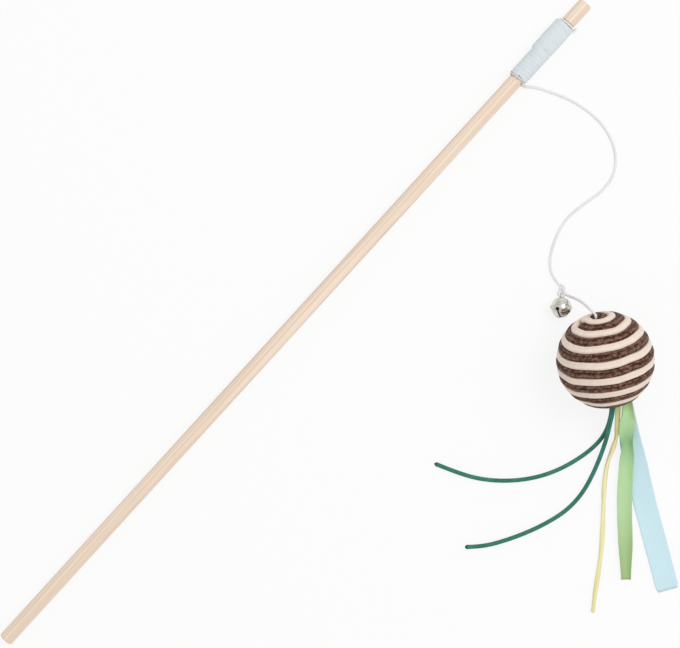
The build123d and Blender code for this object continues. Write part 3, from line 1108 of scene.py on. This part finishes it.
tealShortSteps = [
    (-0.0148, -0.0191, 0.016), (-0.0192, -0.0219, 0.0129), (-0.0241, -0.0254, 0.0079),
    (-0.0307, -0.0292, 0.0025), (-0.0405, -0.0332), (-0.0515, -0.036), (-0.0623, -0.036),
    (-0.0733, -0.033), (-0.0839, -0.0286), (-0.0943, -0.023), (-0.1019, -0.0178), (-0.1071, -0.0124),
]


def satinFinish(name, length):
    # satin cord whose melted end is dark
    material = fibreFinish(name, satinCord)
    tree = material.node_tree
    principled = tree.nodes["Principled BSDF"]
    tone = principled.inputs["Base Color"].links[0].from_socket
    run = mapRun(tree)[0]
    sealFrom = length * 100 - satinCord["sealLength"]
    past = times(tree, mathNode(tree, "SUBTRACT", run, sealFrom), satinCord["sealEdge"])
    past.node.use_clamp = True
    tree.links.new(mixTone(tree, past, tone, satinCord["seal"]), principled.inputs["Base Color"])
    setSockets(principled, {"Coat Weight": 0.04, "Coat Roughness": 0.3})
    return material


def satinSection(run, total):
    # a round cord that swells a little at its melted end
    radius = satinCord["radius"]
    left = (total - run) / radius
    swell = 1.0 + 0.08 * max(0.0, 1 - abs(left - 1.2))
    ease = 1.0 if left >= 0.7 else sqrt(max(0.08, 1 - (1 - left / 0.7) ** 2))
    reach = radius * swell * ease
    return [(reach * cos(turn), reach * sin(turn)) for turn in turnsOf(satinCord["corners"])]


def streamerPlaces(name, joint, steps, look, lift):
    # from inside the ball to the free end
    start = pivots[joint]
    points = [start + pole * satinCord["inside"], start] + onFloor(steps, ballCentre, lift)
    return routePlaces(name, points, look["fineness"])


def keepStreamer(piece, finish, slotName, node):
    settle(piece, finish, slotName, node, node)


def makeTealCord(name, joint, node, steps):
    places = streamerPlaces(name, joint, steps, satinCord, satinCord["radius"])
    cord = sweepRound(name, places, satinSection)
    finish = satinFinish(name + "Satin", runsOf(places)[-1])
    keepStreamer(cord, finish, "teal_cord", node)


makeTealCord("tealCordLong", "teal_long_swing", "teal_cord_long", tealLongSteps)
makeTealCord("tealCordShort", "teal_short_lift", "teal_cord_short", tealShortSteps)

yellowCord = {
    "radius": 0.001,
    "corners": 16,
    "fineness": 22,
    "pitch": 0.045,
    "flat": [(0.0, 1.0), (0.014, 0.95), (0.034, 0.0)],  # flattened where it leaves the ball
    "shift": [(0.006, 0.0002), (0.014, 0.0), (0.026, 0.0)],  # towards the green ribbon
    "endLength": 0.0006,  # that is pinched
    "endShare": 0.6,
    # painted light: paler from the root to about 1.7 cm, to make up for the shadow that falls there under
    # the ball
    "tones": [
        (0.0, 244, 250, 176), (1.2, 250, 250, 178), (2.0, 248, 238, 164), (3.2, 247, 236, 188),
        (6.5, 244, 238, 182), (10.7, 238, 229, 166),
    ],
    "depth": 0.13,
    "plies": 2.0, "along": 2.2, "fibres": 5.0,
    "mottle": 150.0,
    "roughness": 0.65, "sheen": 0.2, "shine": 0.2, "bump": 0.5,
}
yellowSteps = [
    (-0.0128, -0.0208, 0.0124), (-0.0175, -0.0256, 0.0076), (-0.0222, -0.0299, 0.0034),
    (-0.0277, -0.0327, 0.0008), (-0.0332, -0.0349), (-0.0393, -0.0388), (-0.0467, -0.0446),
    (-0.0549, -0.0518), (-0.0643, -0.0596), (-0.0743, -0.0666), (-0.0825, -0.0718), (-0.0895, -0.0769),
]


def crinkleSection(run, total):
    # a soft strand that is flat at its root, then turns over as it goes
    radius = yellowCord["radius"]
    flat = between(yellowCord["flat"], run)
    turn = 2 * pi * run / yellowCord["pitch"] + 0.7 * noise.noise(Vector((run * 60, 0, 0)))
    turn *= 1 - flat
    wide = 1.18 + 0.06 * noise.noise(Vector((run * 130, 5, 0))) + 0.1 * flat
    thin = 0.98 + 0.05 * noise.noise(Vector((run * 150, 9, 0))) - 0.35 * flat
    shift = between(yellowCord["shift"], run)
    ease = 1.0 if total - run > yellowCord["endLength"] else yellowCord["endShare"]
    section = []
    for around in turnsOf(yellowCord["corners"]):
        crease = 1 - 0.06 * exp(-((sin(around) - 1) ** 2) / 0.03)
        a = radius * wide * ease * crease * cos(around)
        b = radius * thin * ease * crease * sin(around)
        rolled = a * cos(turn) - b * sin(turn)
        section.append((rolled + shift, a * sin(turn) + b * cos(turn)))
    return section


def makeYellowCord():
    places = streamerPlaces("yellowCord", "yellow_lift", yellowSteps, yellowCord, yellowCord["radius"])
    cord = sweepRound("yellowCord", places, crinkleSection)
    finish = dyeAndPaintedShadeFinish("yellowCrinkle", yellowCord, fibresOf(yellowCord))
    keepStreamer(cord, finish, "yellow_cord", "yellow_cord")


makeYellowCord()

greenRibbon = {
    "width": 0.0074,
    "thickness": 0.00018,
    "columns": 18,
    "fineness": 14,
    "lift": 0.0002,
    "curl": [
        (0.0, 1.6), (0.0085, 1.45), (0.0155, 0.3), (0.019, 0.4), (0.027, 1.4),
        (0.037, 0.8), (0.05, 0.6), (0.066, 0.7), (0.085, 1.0),
    ],
    # towards the yellow cord
    "shift": [(0.0, -0.0013), (0.012, -0.0006), (0.022, -0.0010), (0.034, 0.0)],
    "cut": [(0.074, 1.0), (0.093, 0.72)],  # share of the width towards the end
    "wave": 0.00012,
    # painted shade: darker at the root under the ball and at the fold near 2.6 cm; painted light: paler
    # from 1 to 1.7 cm, where the root lies in shadow; darker again towards the end
    "tones": [
        (0.0, 158, 190, 134), (1.0, 192, 225, 168), (1.7, 186, 222, 166), (2.6, 154, 198, 146),
        (4.0, 184, 219, 164), (6.0, 184, 218, 164), (7.6, 170, 202, 142), (9.2, 166, 196, 136),
    ],
    "depth": 0.09,
    "mottle": 90.0,
    "warp": 34.0, "weft": 30.0, "slub": 1.0,
    "roughness": 0.45, "sheen": 0.25, "shine": 0.25, "bump": 0.3,
}
greenSteps = [
    (-0.009, -0.0241, 0.0146), (-0.0126, -0.0279, 0.011), (-0.0165, -0.0318, 0.0068),
    (-0.0212, -0.0365, 0.003), (-0.0266, -0.0406, 0.0014), (-0.0332, -0.0459, 0.0012),
    (-0.04, -0.0516, 0.001), (-0.0468, -0.0579, 0.0006), (-0.054, -0.065, 0.0004),
    (-0.061, -0.0716, 0.0006), (-0.0678, -0.078, 0.0003),
]


def curled(half, curl, share):
    # across a strip whose edges curl up
    radius = half / curl
    return radius * sin(curl * share), radius * (1 - cos(curl * share))


def greenProfile(run, total, share):
    half = greenRibbon["width"] / 2 * between(greenRibbon["cut"], run)
    a, b = curled(half, between(greenRibbon["curl"], run), share)
    wave = greenRibbon["wave"] * noise.noise(Vector((run * 160, share * 1.5, 2)))
    return a + between(greenRibbon["shift"], run), b + wave


def makeGreenRibbon():
    places = streamerPlaces("greenRibbon", "green_lift", greenSteps, greenRibbon, greenRibbon["lift"])
    ribbon = sweepStrip("greenRibbon", places, greenRibbon["columns"], greenProfile)
    thicken(ribbon, greenRibbon["thickness"])
    finish = dyeAndPaintedShadeFinish("greenSatin", greenRibbon, weaveOf(greenRibbon))
    keepStreamer(ribbon, finish, "green_ribbon", "green_ribbon")


makeGreenRibbon()

blueRibbon = {
    "width": 0.0106,
    "thickness": 0.00016,
    "columns": 18,
    "fineness": 16,
    "lift": 0.0002,
    "inside": 0.001,
    "curl": [(0.0, 0.35), (0.02, 0.2), (0.05, 0.12), (0.09, 0.08)],
    "end": (-0.0584, -0.0958),  # where it points, from under the ball's middle
    "corner": 0.0008,
    "wave": 0.00015,
    "gather": [(0.0, 0.45), (0.034, 1.0)],  # share of the width that is left
    "pleat": 0.0011,  # how high the gathered cloth stands in folds
    "shift": [(0.0, 0.0030), (0.034, 0.0009), (0.06, 0.0002)],
    # painted shade: darker at the root under the ball
    "tones": [
        (0.0, 176, 205, 200), (1.3, 194, 220, 224), (2.6, 200, 228, 237), (7.0, 204, 233, 241),
        (10.0, 204, 232, 240),
    ],
    "depth": 0.06,
    "mottle": 90.0,
    "warp": 34.0, "weft": 30.0, "slub": 1.0,
    "roughness": 0.5, "sheen": 0.25, "shine": 0.25, "bump": 0.3,
}
blueSteps = [
    (0.0085, 0.01072), (0.013, 0.0064), (0.0175, 0.0026), (0.023, 0.0003), (0.033, 0.0001),
    (0.046, 0.00025), (0.06, 0.0001), (0.077, 0.0005), (0.095, 0.0001),
]


def blueProfile(run, total, share):
    left = total - run
    corner = blueRibbon["corner"]
    trim = 0.0 if left > corner else corner - sqrt(max(0.0, corner**2 - (corner - left) ** 2))
    a, b = curled(blueRibbon["width"] / 2 - trim, between(blueRibbon["curl"], run), share)
    gather = between(blueRibbon["gather"], run)
    pleat = blueRibbon["pleat"] * (1 - gather) * cos(3 * pi * share)
    wave = blueRibbon["wave"] * noise.noise(Vector((run * 70, share * 0.8, 7)))
    return a * gather + between(blueRibbon["shift"], run), b + pleat + wave


def makeBlueRibbon():
    start = pivots["blue_swing"] + pole * (blueRibbon["width"] / 2)
    over = Vector((start.x, start.y, floorHeight + blueRibbon["lift"]))
    end = Vector((ballCentre.x + blueRibbon["end"][0], ballCentre.y + blueRibbon["end"][1], over.z))
    run = (end - over).normalized()
    points = [start + pole * blueRibbon["inside"], start]
    points += [over + run * along + upright * lift for along, lift in blueSteps]
    places = routePlaces("blueRibbon", points, blueRibbon["fineness"])
    ribbon = sweepStrip("blueRibbon", places, blueRibbon["columns"], blueProfile)
    thicken(ribbon, blueRibbon["thickness"])
    finish = dyeAndPaintedShadeFinish("blueSheerRibbon", blueRibbon, weaveOf(blueRibbon))
    settle(ribbon, finish, "blue_ribbon", "blue_ribbon", "blue_ribbon")


makeBlueRibbon()


# Rod and bell keep their own solids and get their finishes

bellNodes = ["bell_dome", "bell_cup", "bell_eye", "bell_pellet"]


def finishNode(node, finish):
    solid = frame["nodes"][node]
    solid.data.materials.clear()
    solid.data.materials.append(finish)


finishNode("rod", rodWood())
nickelFinish = nickelPlate()
for node in bellNodes:
    finishNode(node, nickelFinish)
